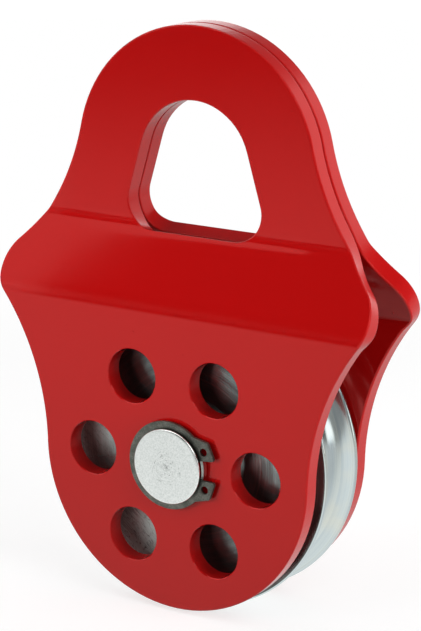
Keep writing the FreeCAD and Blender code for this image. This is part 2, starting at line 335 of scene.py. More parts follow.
@dataclass(frozen=True)
class PowderCoat:
    """Glossy powder coat over laser cut plate, thinner and paler on the cut walls."""

    name: str = "red_powder_coat"
    colour: Colour = (0.49, 0.0045, 0.0045)
    thin_colour: Colour = (0.52, 0.008, 0.008)
    thin_on_walls: float = 0.6
    thin_in_clouds: float = 0.4
    gloss_tint: Colour = (1.0, 0.25, 0.23)
    refraction: float = 1.75
    roughness: float = 0.06
    wall_roughness: float = 0.12
    cloud_roughness: float = 0.04
    wall_turn: Span = (0.5, 0.85)
    peel: Noise = Noise(2.2 * MM)
    peel_depth: float = 0.005
    sag: Noise = Noise(22 * MM)
    sag_depth: float = 0.03
    kerf: Noise = Noise(0.7 * MM)
    kerf_stretch: float = 0.06
    kerf_depth: float = 0.04
    press_line: float = 74.2 * MM
    press_width: float = 1.8 * MM
    press_depth: float = 0.12
    press_ends: Span = (36.4 * MM, 52 * MM)

    def build(self) -> bpy.types.Material:
        """Builds the material.

        Returns:
            The material.
        """
        paint = Paint(self.name)
        wall = 1 - abs(paint.normal[1]).rise(*self.wall_turn)
        cloud = paint.noise(paint.place, self.sag)
        peel = paint.noise(paint.place, self.peel)
        across = paint.join(paint.x, paint.y * self.kerf_stretch, paint.z)
        kerf = paint.noise(across, self.kerf)
        outer = (paint.y * paint.normal[1]).rise(0.0, MM)
        mark = paint.z.bell(self.press_line, self.press_width) * outer * (1 - wall)
        mark = mark * (1 - abs(paint.x).rise(*self.press_ends))
        height = (cloud * self.sag_depth + peel * self.peel_depth + kerf * wall * self.kerf_depth
                  - mark * self.press_depth)
        thin = wall * self.thin_on_walls + (cloud - 0.5) * self.thin_in_clouds
        colour = paint.mix(thin, self.colour, self.thin_colour)
        roughness = self.roughness + wall * self.wall_roughness + (cloud - 0.5) * self.cloud_roughness
        return paint.surface(colour, roughness, height, ior=self.refraction, gloss_tint=self.gloss_tint)


@dataclass(frozen=True)
class TurnedZinc:
    """Zinc plated sheave: a bright groove streaked by the lathe, and dark side faces.

    The side faces are cut in fine rings. Two sectors of them are painted near black, a painted shade
    standing for the dark reflection seen there.
    Another sector is worn dull and scratched, with a painted blue-green cast that cancels the red light
    the plates throw on it.
    A sector is the angle of its middle and its width, in radians.
    """

    name: str = "zinc_plated_sheave"
    bright: Colour = (0.66, 0.73, 0.71)
    blue: Colour = (0.56, 0.64, 0.66)
    straw: Colour = (0.74, 0.74, 0.63)
    straw_patches: Span = (0.52, 0.75)
    straw_cover: float = 0.6
    # The side colours carry a painted blue-green cast that cancels the red light the plates throw on the
    # side faces. The worn colour carries the most of it.
    dark: Colour = (0.16, 0.185, 0.18)
    scuffed: Colour = (0.36, 0.41, 0.40)
    contrast: Span = (0.35, 0.65)
    # Near black for the dark scratches, and for the painted shade on two sectors of the side faces.
    black_scratch_and_shade: Colour = (0.03, 0.03, 0.03)
    painted_shade_sectors: tuple[Span, Span] = ((2.0, 0.4), (-1.05, 0.35))
    painted_shade_cover: float = 0.65
    # Worn colour: real wear, with a painted blue-green cast against the plates' red light.
    worn: Colour = (0.50, 0.62, 0.59)
    worn_and_painted_cast_sector: Span = (-2.1, 0.45)
    rubbed_and_painted_cast_sector: Span = (math.pi, 0.3)
    rubbed_share: float = 0.35
    worn_and_painted_cast_cover: float = 0.5
    worn_dullness: float = 0.45
    worn_roughness: float = 0.15
    scratches: Noise = Noise(1.0, 3.0, 0.6)
    scratch_length: float = 9 * MM
    scratch_gap: float = 2.4 * MM
    scratch_width: float = 0.012
    scratch_cover: Span = (0.2, 0.6)
    side_turn: Span = (0.93, 0.99)
    side_dullness: float = 0.15
    side_roughness: float = 0.15
    roughness: float = 0.20
    mark_roughness: float = 0.14
    streak_roughness: float = 0.12
    marks: Noise = Noise(0.28 * MM, 3.0)
    mark_depth: float = 0.004
    feed: Noise = Noise(0.16 * MM)
    feed_depth: float = 0.05
    streaks: Noise = Noise(2.2 * MM, 3.0, 0.6)
    streak_depth: float = 0.008
    scuffs: Noise = Noise(2.2 / 3 * MM, 4.0, 0.7)
    scuff_gain: float = 2.0
    clouds: Noise = Noise(16 * MM)

    def build(self) -> bpy.types.Material:
        """Builds the material.

        Returns:
            The material.
        """
        paint = Paint(self.name)
        side = abs(paint.normal[1]).rise(*self.side_turn)
        lane = paint.join(paint.radius, paint.y, 0.0)
        marks = paint.noise(lane, self.marks)
        streaks = paint.noise(lane, self.streaks)
        feed = paint.noise(lane, self.feed)
        cloud = paint.noise(paint.place, self.clouds)
        worn = (paint.angle.bell(*self.worn_and_painted_cast_sector)
                + abs(paint.angle).bell(*self.rubbed_and_painted_cast_sector) * self.rubbed_share)
        zinc = paint.mix(streaks.rise(*self.contrast), self.blue, self.bright)
        zinc = paint.mix(cloud.rise(*self.straw_patches) * self.straw_cover, zinc, self.straw)
        colour = paint.mix(side, zinc, self._side_colour(paint, lane, cloud, worn))
        height = (marks * self.mark_depth + streaks * self.streak_depth
                  + feed * side * self.feed_depth)
        roughness = (self.roughness + side * (self.side_roughness - self.roughness)
                     + side * worn * self.worn_roughness
                     + (marks - 0.5) * self.mark_roughness + (streaks - 0.5) * self.streak_roughness)
        dullness = side * (self.side_dullness + worn * self.worn_dullness)
        return paint.surface(colour, roughness, height, metallic=1 - dullness)

    def _side_colour(self, paint: Paint, lane: bpy.types.NodeSocket, cloud: Num,
                     worn: Num) -> bpy.types.NodeSocket:
        """Colour of the side faces.

        Args:
            paint: The material's nodes.
            lane: Vector that is the same all along a turned ring.
            cloud: Soft noise in large patches.
            worn: How worn the face is, which also sets where its painted blue-green cast shows.

        Returns:
            The colour.
        """
        scuffs = paint.noise(lane, self.scuffs) * cloud * self.scuff_gain
        along = paint.join((paint.x + paint.z) / self.scratch_gap,
                           (paint.x - paint.z) / self.scratch_length, 0.0)
        hairs = paint.noise(along, self.scratches).bell(0.5, self.scratch_width)
        # Painted shade: two sectors of the side faces are darkened nearly black, standing for the dark
        # reflection there.
        first, second = (paint.angle.bell(*sector) for sector in self.painted_shade_sectors)
        steel = paint.mix(scuffs.rise(*self.contrast), self.dark, self.scuffed)
        steel = paint.mix((first + second) * self.painted_shade_cover, steel, self.black_scratch_and_shade)
        # Wear, with a painted blue-green cast that cancels the red light from the plates.
        steel = paint.mix(worn * (self.worn_and_painted_cast_cover + scuffs), steel, self.worn)
        least, gain = self.scratch_cover
        return paint.mix(hairs * (least + worn * gain), steel, self.black_scratch_and_shade)


@dataclass(frozen=True)
class PinZinc:
    """Pale matt zinc on the faced pin, with the lathe's rings, dull pits and painted shade on the outer
    lands.

    The painted shade stands for the dark reflection on the lands between the ring and the end face. It
    lies between two distances from the middle of the pin.
    """

    shaded_lands: Span
    name: str = "zinc_plated_pin"
    pale: Colour = (0.90, 0.93, 0.91)
    grey: Colour = (0.62, 0.67, 0.64)
    grey_cover: float = 0.35
    pit: Colour = (0.26, 0.28, 0.27)
    painted_land_shade: Colour = (0.05, 0.04, 0.04)
    land_shade_cover: Span = (0.75, 0.4)
    land_shade_fade: float = 0.12 * MM
    end_turn: Span = (0.8, 0.95)
    roughness: float = 0.46
    shank_roughness: float = 0.22
    grain_roughness: float = 0.20
    grain: Noise = Noise(0.55 * MM, 3.0, 0.7)
    grain_depth: float = 0.012
    grain_contrast: float = 2.2
    rings: Noise = Noise(0.45 * MM)
    ring_wander: Noise = Noise(5.5 / 3 * MM)
    ring_depth: float = 0.006
    ring_contrast: float = 1.6
    scars: Noise = Noise(1.0, 2.0, 0.6)
    scar_length: float = 2.2 * MM
    scar_width: float = 0.26 * MM
    scar_share: Span = (0.68, 0.80)
    scar_depth: float = 0.03
    scarred_fade: float = 0.35
    scarred_reach: float = 9.5 * MM
    scarred_gain: float = 0.10
    centre_width: float = 0.9 * MM
    centre_share: Span = (0.42, 0.6)
    centre_cover: float = 0.8

    def build(self) -> bpy.types.Material:
        """Builds the material.

        Returns:
            The material.
        """
        paint = Paint(self.name)
        end = abs(paint.normal[1]).rise(*self.end_turn)
        inner = 1 - paint.radius.rise(self.scarred_fade * self.scarred_reach, self.scarred_reach)
        grain = paint.noise(paint.place, self.grain)
        wander = paint.noise(paint.place, self.ring_wander) * self.rings.size
        rings = paint.noise(paint.join(paint.radius + wander, 0.0, 0.0), self.rings)
        scars = self._scars(paint, inner, grain) * end
        worn = ((grain - 0.5) * self.grain_contrast + (rings - 0.5) * self.ring_contrast * inner
                + self.grey_cover)
        colour = paint.mix(scars, paint.mix(worn, self.pale, self.grey), self.pit)
        # Painted shade: the outer lands between the ring and the end face are darkened, standing for the
        # dark reflection they show.
        reach = abs(paint.y)
        inside, outside = (reach.rise(place - self.land_shade_fade, place + self.land_shade_fade)
                           for place in self.shaded_lands)
        least, gain = self.land_shade_cover
        colour = paint.mix(inside * (1 - outside) * (least + grain * gain), colour, self.painted_land_shade)
        height = grain * self.grain_depth + rings * self.ring_depth - scars * self.scar_depth
        roughness = (self.shank_roughness + end * (self.roughness - self.shank_roughness)
                     + (grain - 0.5) * self.grain_roughness)
        return paint.surface(colour, roughness, height, metallic=1.0)

    def _scars(self, paint: Paint, inner: Num, grain: Num) -> Num:
        """Dull pits, drawn out along the turning and thicker round the centre.

        Args:
            paint: The material's nodes.
            inner: How near the centre a place is, from 0 to 1.
            grain: Fine noise.

        Returns:
            How far a place is pitted.
        """
        track = paint.join(paint.radius / self.scar_width,
                           paint.angle * self.scarred_reach / 2 / self.scar_length, 0.0)
        scars = (paint.noise(track, self.scars) + inner * self.scarred_gain).rise(*self.scar_share)
        centre = paint.radius.bell(0.0, self.centre_width) * grain.rise(*self.centre_share)
        return scars + centre * self.centre_cover


@dataclass(frozen=True)
class Phosphate:
    """Dark oiled phosphate on spring steel, speckled and rubbed a little lighter in patches."""

    name: str = "dark_phosphate"
    colour: Colour = (0.070, 0.076, 0.064)
    rubbed: Colour = (0.19, 0.19, 0.165)
    rubbed_share: Span = (0.42, 0.66)
    metal_share: float = 0.7
    roughness: float = 0.40
    grain_roughness: float = 0.3
    patches: Noise = Noise(3.5 * MM, 3.0)
    patch_weight: float = 0.45
    grain: Noise = Noise(0.35 * MM, 3.0, 0.65)
    grain_depth: float = 0.012

    def build(self) -> bpy.types.Material:
        """Builds the material.

        Returns:
            The material.
        """
        paint = Paint(self.name)
        patch = paint.noise(paint.place, self.patches)
        grain = paint.noise(paint.place, self.grain)
        speckle = patch * self.patch_weight + grain * (1 - self.patch_weight)
        colour = paint.mix(speckle.rise(*self.rubbed_share), self.colour, self.rubbed)
        roughness = self.roughness + (grain - 0.5) * self.grain_roughness
        return paint.surface(colour, roughness, grain * self.grain_depth, metallic=self.metal_share)


@dataclass(frozen=True)
class BareMetal:
    """Turned or ground metal with its cutting rings and a thin dull film in patches."""

    name: str
    colour: Colour
    dull_colour: Colour
    roughness: float
    marks: Noise = Noise(0.2 * MM, 3.0)
    mark_depth: float = 0.004
    mark_roughness: float = 0.2
    film: Noise = Noise(6 * MM)
    film_share: Span = (0.4, 0.7)

    def build(self) -> bpy.types.Material:
        """Builds the material.

        Returns:
            The material.
        """
        paint = Paint(self.name)
        rings = paint.noise(paint.join(paint.radius, paint.y, 0.0), self.marks)
        film = paint.noise(paint.place, self.film)
        colour = paint.mix(film.rise(*self.film_share), self.colour, self.dull_colour)
        roughness = self.roughness + (rings - 0.5) * self.mark_roughness
        return paint.surface(colour, roughness, rings * self.mark_depth, metallic=1.0)


class Recipe(Net):
    """A Geometry Nodes tree with named inputs, run once to give a plain mesh."""

    def __init__(self, name: str) -> None:
        """Starts a tree whose only output is its geometry.

        Args:
            name: Its name.
        """
        super().__init__(bpy.data.node_groups.new(name, "GeometryNodeTree"))
        self.tree.interface.new_socket("Geometry", in_out="OUTPUT", socket_type="NodeSocketGeometry")
        self._inputs = self.node("NodeGroupInput")

    def ask(self, name: str, kind: str) -> bpy.types.NodeSocket:
        """Adds a named input.

        Args:
            name: Its name.
            kind: Its type, such as Float or Object.

        Returns:
            The socket that gives its value.
        """
        self.tree.interface.new_socket(name, in_out="INPUT", socket_type=f"NodeSocket{kind}")
        return self._inputs.outputs[name]

    def ask_number(self, name: str, kind: str = "Float") -> Num:
        """Adds a named number."""
        return Num(self, self.ask(name, kind))

    def chance(self, low: Input, high: Input, seed: Input, number: Num | None = None) -> Num:
        """A random number for each element.

        Args:
            low: The smallest.
            high: The largest.
            seed: Start of the chance.
            number: Number that an element goes by, which is its own index where none is given.

        Returns:
            The random number.
        """
        values = {"Min": low, "Max": high, "Seed": seed}
        if number is not None:
            values["ID"] = number
        made = self.node("FunctionNodeRandomValue", {"data_type": "FLOAT"}, values)
        return Num(self, next(socket for socket in made.outputs if socket.enabled))

    def serve(self, geometry: bpy.types.NodeSocket, sharp_angle: Num) -> None:
        """Ends the tree: shades it smooth up to an angle, realizes it and gives it its finish.

        Args:
            geometry: What the tree made.
            sharp_angle: Edges that turn by more than this stay sharp.
        """
        angle = Num(self, self.node("GeometryNodeInputMeshEdgeAngle").outputs["Unsigned Angle"])
        real = self.node("GeometryNodeRealizeInstances", None, {"Geometry": geometry}).outputs[0]
        soft = self.node("GeometryNodeSetShadeSmooth", {"domain": "FACE"},
                         {"Geometry": real, "Shade Smooth": True}).outputs[0]
        sharp = self.math("GREATER_THAN", angle, sharp_angle)
        edged = self.node("GeometryNodeSetShadeSmooth", {"domain": "EDGE"},
                          {"Geometry": soft, "Selection": sharp, "Shade Smooth": False}).outputs[0]
        dressed = self.node("GeometryNodeSetMaterial", None,
                            {"Geometry": edged, "Material": self.ask("Finish", "Material")}).outputs[0]
        self.node("NodeGroupOutput", None, {"Geometry": dressed})

    def cook(self, name: str, values: dict[str, Any]) -> bpy.types.Object:
        """Runs the tree.

        Args:
            name: Name of the piece.
            values: Value of each named input.

        Returns:
            An object at the origin that holds the plain mesh.
        """
        piece = add_object(name, bpy.data.meshes.new(name))
        modifier = piece.modifiers.new(self.tree.name, "NODES")
        modifier.node_group = self.tree
        for item in self.tree.interface.items_tree:
            if item.item_type == "SOCKET" and item.in_out == "INPUT":
                modifier[item.identifier] = values[item.name]
        graph = bpy.context.evaluated_depsgraph_get()
        mesh = bpy.data.meshes.new_from_object(piece.evaluated_get(graph), depsgraph=graph)
        mesh.name = name
        piece.modifiers.clear()
        piece.data = mesh
        return piece


class Lathe(Recipe):
    """Turns a profile round the pin's axis into a closed solid and cuts tool marks into it.

    The profile is a mesh of points in order. A point's x is its radius, its y its place along the axis,
    and its z how strongly the tool marks show there, from 0 to 1.
    """

    steps_round = 192
    sharp_angle = math.radians(35)

    def __init__(self) -> None:
        """Builds the tree."""
        super().__init__("lathe")
        profile = self.ask("Profile", "Object")
        steps = self.ask_number("Steps", "Int")
        depth = self.ask_number("Mark Depth")
        seed = self.ask("Seed", "Int")
        sharp_angle = self.ask_number("Sharp Angle")
        points = self.node("GeometryNodeObjectInfo", None, {"Object": profile}).outputs["Geometry"]
        count = self.node("GeometryNodeAttributeDomainSize", {"component": "MESH"},
                          {"Geometry": points}).outputs["Point Count"]
        columns = steps + 1
        grid = self.node("GeometryNodeMeshGrid", None,
                         {"Vertices X": count, "Vertices Y": columns}).outputs["Mesh"]
        index = Num(self, self.node("GeometryNodeInputIndex").outputs[0])
        row = self.math("FLOOR", (index + 0.5) / columns)
        column = index - row * columns
        radius, place, weight = self._point(points, row)
        radius_before, place_before, _ = self._point(points, row - 1)
        radius_after, place_after, _ = self._point(points, row + 1)
        run = radius_after - radius_before
        climb = place_after - place_before
        length = self.math("SQRT", run * run + climb * climb)
        cut = self.chance(0.0, 1.0, seed, row) * depth * weight / length
        radius = radius - climb * cut
        place = place + run * cut
        angle = column / steps * FULL_TURN
        turned = self.join(radius * self.math("COSINE", angle), place,
                           radius * self.math("SINE", angle))
        solid = self.node("GeometryNodeSetPosition", None,
                          {"Geometry": grid, "Position": turned}).outputs[0]
        closed = self.node("GeometryNodeMergeByDistance", None,
                           {"Geometry": solid, "Distance": WELD}).outputs[0]
        self.serve(closed, sharp_angle)

    def _point(self, points: bpy.types.NodeSocket, row: Num) -> tuple[Num, Num, Num]:
        """Reads a point of the profile.

        Args:
            points: The profile.
            row: Number of the point.

        Returns:
            Its radius, its place along the axis and how strongly marks show on it.
        """
        spot = self.node("GeometryNodeInputPosition").outputs[0]
        made = self.node("GeometryNodeSampleIndex",
                         {"data_type": "FLOAT_VECTOR", "domain": "POINT", "clamp": True},
                         {"Geometry": points, "Value": spot, "Index": row})
        return self.split(made.outputs[0])

    def turn(self, name: str, profile: Sequence[Vector], finish: bpy.types.Material, seed: int,
             mark_depth: float) -> bpy.types.Object:
        """Turns a piece.

        Args:
            name: Name of the piece.
            profile: Its points, from the front near the axis, round the outside to the rear.
            finish: Its material.
            seed: Start of the chance for the tool marks.
            mark_depth: Depth of the deepest mark.

        Returns:
            The turned piece.
        """
        mesh = bpy.data.meshes.new(f"{name}_profile")
        mesh.from_pydata(profile, [(i, i + 1) for i in range(len(profile) - 1)], [])
        guide = bpy.data.objects.new(mesh.name, mesh)
        piece = self.cook(name, {"Profile": guide, "Steps": self.steps_round, "Mark Depth": mark_depth,
                                 "Seed": seed, "Sharp Angle": self.sharp_angle, "Finish": finish})
        bpy.data.objects.remove(guide)
        return piece


class NibSower(Recipe):
    """Sows dust nibs, the specks that lie under a powder coat, over the flat faces of a plate."""

    flat_turn = 0.8
    ball_levels = 2

    def __init__(self) -> None:
        """Builds the tree."""
        super().__init__("nib_sower")
        plate = self.ask("Plate", "Object")
        density = self.ask("Density", "Float")
        smallest = self.ask("Smallest", "Float")
        largest = self.ask("Largest", "Float")
        flatness = self.ask_number("Flatness")
        seed = self.ask("Seed", "Int")
        sharp_angle = self.ask_number("Sharp Angle")
        skin = self.node("GeometryNodeObjectInfo", None, {"Object": plate}).outputs["Geometry"]
        normal = self.split(self.node("GeometryNodeInputNormal").outputs[0])
        flat = self.math("GREATER_THAN", abs(normal[1]), self.flat_turn)
        sown = self.node("GeometryNodeDistributePointsOnFaces", {"distribute_method": "RANDOM"},
                         {"Mesh": skin, "Selection": flat, "Density": density, "Seed": seed})
        ball = self.node("GeometryNodeMeshIcoSphere", None,
                         {"Radius": 1.0, "Subdivisions": self.ball_levels}).outputs[0]
        size = self.chance(smallest, largest, seed)
        nibs = self.node("GeometryNodeInstanceOnPoints", None,
                         {"Points": sown.outputs["Points"], "Instance": ball,
                          "Rotation": sown.outputs["Rotation"],
                          "Scale": self.join(size, size, size * flatness)}).outputs[0]
        self.serve(nibs, sharp_angle)


def spaced(start: float, end: float, pitch: float) -> list[float]:
    """Evenly spaced values.

    Args:
        start: First value.
        end: Last value.
        pitch: Largest step between two values.

    Returns:
        The values, both ends among them.
    """
    steps = max(1, math.ceil(abs(end - start) / pitch))
    return [start + (end - start) * i / steps for i in range(steps + 1)]


def arc(centre: tuple[float, float], radius: float, start: float, end: float, steps: int,
        weight: float = 0.0) -> list[Vector]:
    """Points of a profile along an arc.

    Args:
        centre: Radius and place of the arc's centre.
        radius: Its radius.
        start: Angle of its first point in degrees, from the outward direction towards the rear.
        end: Angle of its last point.
        steps: Number of steps.
        weight: How strongly tool marks show on it.

    Returns:
        The points.
    """
    points = []
    for i in range(steps + 1):
        angle = math.radians(start + (end - start) * i / steps)
        points.append(Vector((centre[0] + radius * math.cos(angle), centre[1] + radius * math.sin(angle),
                              weight)))
    return points


def without_doubles(points: Iterable[Vector]) -> list[Vector]:
    """Leaves out what a profile needs only once.

    Args:
        points: The points in order.

    Returns:
        The points without those that lie on the one before.
    """
    kept: list[Vector] = []
    for point in points:
        if not kept or (point.xy - kept[-1].xy).length > WELD:
            kept.append(point)
    return kept


def mirrored(half: Sequence[Vector], middle: float) -> list[Vector]:
    """Mirrors half of a profile.

    Args:
        half: Its points in order.
        middle: Place along the axis at which it is mirrored.

    Returns:
        The points of the other half, which go on from its last one.
    """
    return [Vector((point.x, 2 * middle - point.y, point.z)) for point in reversed(half)]


def dress(node: str, finish: bpy.types.Material) -> None:
    """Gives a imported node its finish.

    Args:
        node: Name of the node.
        finish: Its material.
    """
    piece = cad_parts[node]
    for slot in piece.material_slots:
        slot.material = finish
    LOG.info("%s: packed solid, %s", node, finish.name)


def settle(piece: bpy.types.Object, body: str, stands_for: str | None = None) -> None:
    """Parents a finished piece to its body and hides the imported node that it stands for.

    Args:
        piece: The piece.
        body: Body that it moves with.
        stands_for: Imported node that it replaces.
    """
    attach(piece, body)
    if stands_for:
        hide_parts(stands_for)
    LOG.info("%s: %d faces, on %s", piece.name, len(piece.data.polygons), body)


@dataclass
class CheekPlates:
    """Both cheek plates with their coat and its nibs."""

    coat: PowderCoat = PowderCoat()
    nibs_per_area: float = 600.0
    nib_sizes: Span = (0.14 * MM, 0.38 * MM)
    nib_flatness: float = 0.45
    seed: int = 11

    def build(self) -> None:
        """Dresses the plates and sows their nibs."""
        finish = self.coat.build()
        sower = NibSower()
        for side in Side:
            plate = side.named("cheek_plate")
            dress(plate, finish)
            nibs = sower.cook(side.named("coat_nibs"),
                              {"Plate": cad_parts[plate], "Density": self.nibs_per_area,
                               "Smallest": self.nib_sizes[0], "Largest": self.nib_sizes[1],
                               "Flatness": self.nib_flatness, "Seed": self.seed + side.value,
                               "Sharp Angle": math.pi, "Finish": finish})
            settle(nibs, side.named("cheek"))


@dataclass
class Sheave:
    """The grooved sheave with its bush, turned from the rim's and the groove's sizes."""

    finish: TurnedZinc = TurnedZinc()
    bush_finish: BareMetal = BareMetal("bearing_bronze", (0.58, 0.40, 0.20), (0.38, 0.25, 0.12), 0.35)
    groove_radius: float = 9.0 * MM
    rim_flat: float = 1.6 * MM
    rim_round: float = 0.7 * MM
    lip_round: float = 1.1 * MM
    lip_steps: int = 8
    face_pitch: float = 0.6 * MM
    face_marks: float = 1.0
    groove_marks: float = 0.35
    mark_depth: float = 0.012 * MM
    round_steps: int = 6
    groove_half_steps: int = 28
    seed: int = 5

    def profile(self) -> list[Vector]:
        """Draws the closed outline of the sheave's half section.

        Returns:
            Its points, from the front of the bore round the rim and back.
        """
        low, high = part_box("sheave")
        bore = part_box("sheave_bush")[1].x
        front, rear, rim = low.y, high.y, high.x
        middle = (front + rear) / 2
        flank = (rear - front) / 2 - self.rim_flat
        centre = (rim + math.sqrt(self.groove_radius ** 2 - flank ** 2), middle)
        drop = centre[0] - rim + self.lip_round
        lip = math.sqrt((self.groove_radius + self.lip_round) ** 2 - drop ** 2)
        half_angle = math.degrees(math.atan2(lip, drop))
        corner = rim - self.rim_round
        half = [Vector((radius, front, self.face_marks if bore < radius < corner else 0.0))
                for radius in spaced(bore, corner, self.face_pitch)]
        half += arc((corner, front + self.rim_round), self.rim_round, -90, 0, self.round_steps)
        half += arc((rim - self.lip_round, middle - lip), self.lip_round, 0, half_angle,
                    self.lip_steps)
        half += arc(centre, self.groove_radius, 180 + half_angle, 180, self.groove_half_steps,
                    self.groove_marks)
        return without_doubles(half + mirrored(half, middle) + half[:1])

    def build(self, lathe: Lathe) -> None:
        """Turns the sheave and dresses its bush.

        Args:
            lathe: The tree that turns it.
        """
        wheel = lathe.turn("turned_sheave", self.profile(), self.finish.build(), self.seed,
                           self.mark_depth)
        settle(wheel, "sheave", "sheave")
        dress("sheave_bush", self.bush_finish.build())


@dataclass
class Axle:
    """The pin, its two retaining rings and the thrust washers."""

    ring_finish: Phosphate = Phosphate()
    washer_finish: BareMetal = BareMetal("ground_steel", (0.56, 0.56, 0.55), (0.40, 0.39, 0.37), 0.3)
    chamfer: float = 0.65 * MM
    chamfer_steps: int = 5
    seat_depth: float = 0.55 * MM
    seat_slack: float = 0.05 * MM
    face_pitch: float = 0.3 * MM
    nib_radius: float = 0.8 * MM
    nib_height: float = 0.1 * MM
    mark_depth: float = 0.015 * MM
    ring_roll: float = 0.14 * MM
    ring_roll_steps: int = 3
    flat_angle: float = math.radians(1.0)
    edge_angle: float = math.radians(50)
    seed: int = 3

    def pin_end(self) -> list[Vector]:
        """Draws the outline of the pin's front half.

        Returns:
            Its points, from the axis outwards and back to the ring's groove.
        """
        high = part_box("axle_pin")[1]
        ring_low, ring_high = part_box(Side.FRONT.named("retaining_ring"))
        end = -high.y
        face = end + self.nib_height + WELD
        points = []
        for radius in spaced(0.0, high.x - self.chamfer, self.face_pitch):
            nib = self.nib_height * max(0.0, 1 - (radius / self.nib_radius) ** 2)
            points.append(Vector((radius, face - nib, 1.0 if radius > self.nib_radius else 0.0)))
        points[-1].z = 0.0
        seat = high.x - self.seat_depth
        outer_wall = ring_low.y - self.seat_slack
        inner_wall = ring_high.y + self.seat_slack
        points += arc((high.x - self.chamfer, face + self.chamfer), self.chamfer, -90, 0,
                      self.chamfer_steps)
        for radius, place in ((high.x, outer_wall), (seat, outer_wall), (seat, inner_wall),
                              (high.x, inner_wall)):
            points.append(Vector((radius, place, 0.0)))
        return points

    def pin_profile(self) -> list[Vector]:
        """Points of the pin's whole outline, from the front to the rear."""
        front = self.pin_end()
        return without_doubles(front + mirrored(front, 0.0))

    def rolled_ring(self, node: str) -> bpy.types.Object:
        """Gives a ring the rolled edges of a stamping.

        Args:
            node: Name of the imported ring.

        Returns:
            The rolled copy of it.
        """
        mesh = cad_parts[node].data.copy()
        shape = bmesh.new()
        shape.from_mesh(mesh)
        bmesh.ops.remove_doubles(shape, verts=shape.verts, dist=WELD)
        bmesh.ops.dissolve_limit(shape, angle_limit=self.flat_angle, verts=shape.verts,
                                 edges=shape.edges)
        sharp = [edge for edge in shape.edges if edge.calc_face_angle(0.0) > self.edge_angle]
        bmesh.ops.bevel(shape, geom=sharp, offset=self.ring_roll, segments=self.ring_roll_steps,
                        profile=0.5, affect="EDGES", clamp_overlap=True)
        bmesh.ops.recalc_face_normals(shape, faces=shape.faces)
        shape.to_mesh(mesh)
        shape.free()
        return add_object(f"rolled_{node}", mesh)

    def build(self, lathe: Lathe) -> None:
        """Makes the pin and rings and dresses the washers.

        Args:
            lathe: The tree that turns the pin.
        """
        ring_face = -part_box(Side.FRONT.named("retaining_ring"))[0].y
        pin_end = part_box("axle_pin")[1].y
        # The pin's painted shade runs from the ring's face to the end face's chamfer.
        zinc = PinZinc(shaded_lands=(ring_face, pin_end - self.nib_height - self.chamfer)).build()
        pin = lathe.turn("turned_pin", self.pin_profile(), zinc, self.seed, self.mark_depth)
        body = Side.REAR.named("cheek")
        settle(pin, body, "axle_pin")
        dark = self.ring_finish.build()
        for side in Side:
            node = side.named("retaining_ring")
            ring = self.rolled_ring(node)
            ring.data.materials.clear()
            ring.data.materials.append(dark)
            ring.data.shade_smooth()
            settle(ring, body, node)
        steel = self.washer_finish.build()
        for side in Side:
            dress(side.named("thrust_washer"), steel)


@dataclass(frozen=True)
class Panel:
    """A soft flat lamp that looks at the block.

    Its azimuth is counted from the front of the block to its right, its spread is the angle into which
    it shines, and it is raised by a height above the middle of the block. The block mirrors it only
    where it is glossy.
    """

    name: str
    azimuth: float
    elevation: float
    width: float
    height: float
    brightness: float
    distance: float = 1.0
    spread: float = 180.0
    raised: float = 0.0
    glossy: bool = False

    def place(self, target: Vector) -> None:
        """Hangs the lamp.

        Args:
            target: Point that it looks at.
        """
        turn, lift = math.radians(self.azimuth), math.radians(self.elevation)
        away = Vector((math.sin(turn) * math.cos(lift), -math.cos(turn) * math.cos(lift),
                       math.sin(lift)))
        data = bpy.data.lights.new(self.name, "AREA")
        data.shape = "RECTANGLE"
        data.size = self.width
        data.size_y = self.height
        data.energy = self.brightness * math.pi * self.width * self.height
        data.spread = math.radians(self.spread)
        lamp = add_object(self.name, data)
        lamp.location = target + Vector((0.0, 0.0, self.raised)) + away * self.distance
        lamp.rotation_euler = (-away).to_track_quat("-Z", "Y").to_euler()
        lamp.visible_glossy = self.glossy


@dataclass(frozen=True)
class Slope:
    """A smooth step along a direction, over places on the floor or over directions of view."""

    along: Point
    low: float
    high: float
    share: float = 1.0

    def climb(self, parts: Iterable[Num]) -> Num:
        """Finds how far up the step something is.

        Args:
            parts: The x, y and z of a place or a direction.

        Returns:
            A number from 0 to the step's share.
        """
        total = sum(part * weight for part, weight in zip(parts, self.along) if weight)
        return total.rise(self.low, self.high) * self.share


